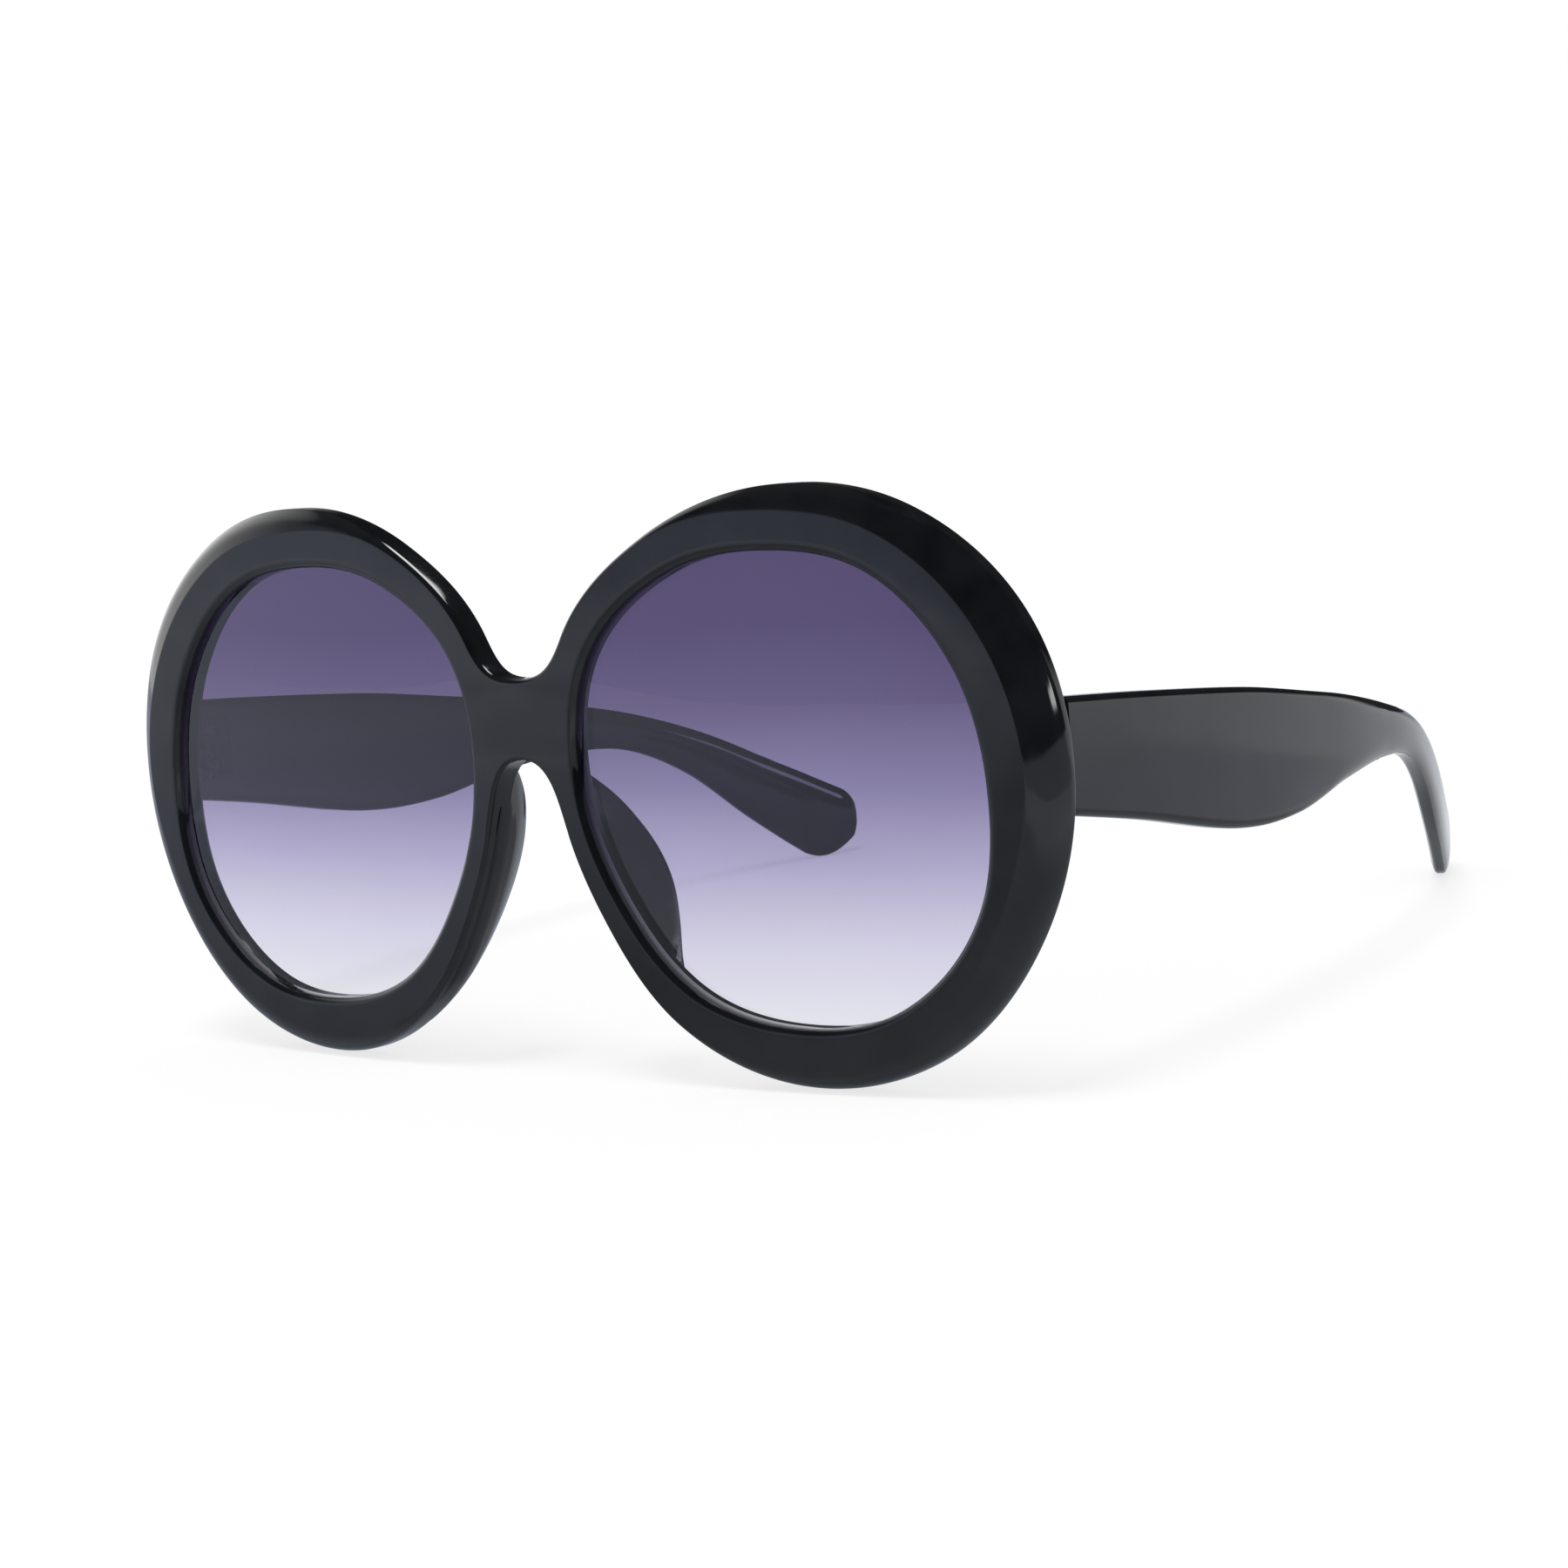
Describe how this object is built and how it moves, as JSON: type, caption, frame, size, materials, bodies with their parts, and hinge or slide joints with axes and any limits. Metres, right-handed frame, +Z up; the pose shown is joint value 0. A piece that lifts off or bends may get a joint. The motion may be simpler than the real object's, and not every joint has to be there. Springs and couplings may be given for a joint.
{
  "type": "sunglasses",
  "caption": "Oversized round sunglasses: black bevelled plastic rims, violet gradient lenses, cemented nose pads and wide folding temples on barrel hinges.",
  "frame": {"origin": "on the table below the middle of the bounding box, with the sunglasses standing open on both rims and both temple tips", "axes": "+X towards the wearer's left, -Y the way the wearer looks, +Z up from the table"},
  "size_m": [0.1506, 0.1326, 0.0712],
  "materials": {
    "black_acetate": "polished black cellulose acetate",
    "tinted_lens": "violet tint, dark at the top and almost clear at the bottom",
    "hinge_steel": "satin black plating",
    "core_wire": "drawn wire"
  },
  "bodies": {
    "front": {"front_frame": "black_acetate", "lens_left": "tinted_lens", "lens_right": "tinted_lens", "nose_pad_left": "black_acetate", "nose_pad_right": "black_acetate", "hinge_front_leaf_left": "hinge_steel", "hinge_front_leaf_right": "hinge_steel", "hinge_pivot_screw_left": "hinge_steel", "hinge_pivot_screw_right": "hinge_steel", "front_lower_screw_left": "hinge_steel", "front_lower_screw_right": "hinge_steel", "front_upper_screw_left": "hinge_steel", "front_upper_screw_right": "hinge_steel"},
    "left_arm": {"temple_left": "black_acetate", "temple_core_left": "core_wire", "hinge_temple_leaf_left": "hinge_steel", "temple_lower_screw_left": "hinge_steel", "temple_upper_screw_left": "hinge_steel"},
    "right_arm": {"temple_right": "black_acetate", "temple_core_right": "core_wire", "hinge_temple_leaf_right": "hinge_steel", "temple_lower_screw_right": "hinge_steel", "temple_upper_screw_right": "hinge_steel"}
  },
  "joints": [
    {"name": "temple_left_fold", "type": "hinge", "parent": "front", "child": "left_arm", "pos_m": [0.06889, -0.05437, 0.0383], "axis": [0, 0.06, 0.9982], "range_deg": [0, 82]},
    {"name": "temple_right_fold", "type": "hinge", "parent": "front", "child": "right_arm", "pos_m": [-0.06889, -0.05437, 0.0383], "axis": [0, -0.06, -0.9982], "range_deg": [0, 76]}
  ]
}
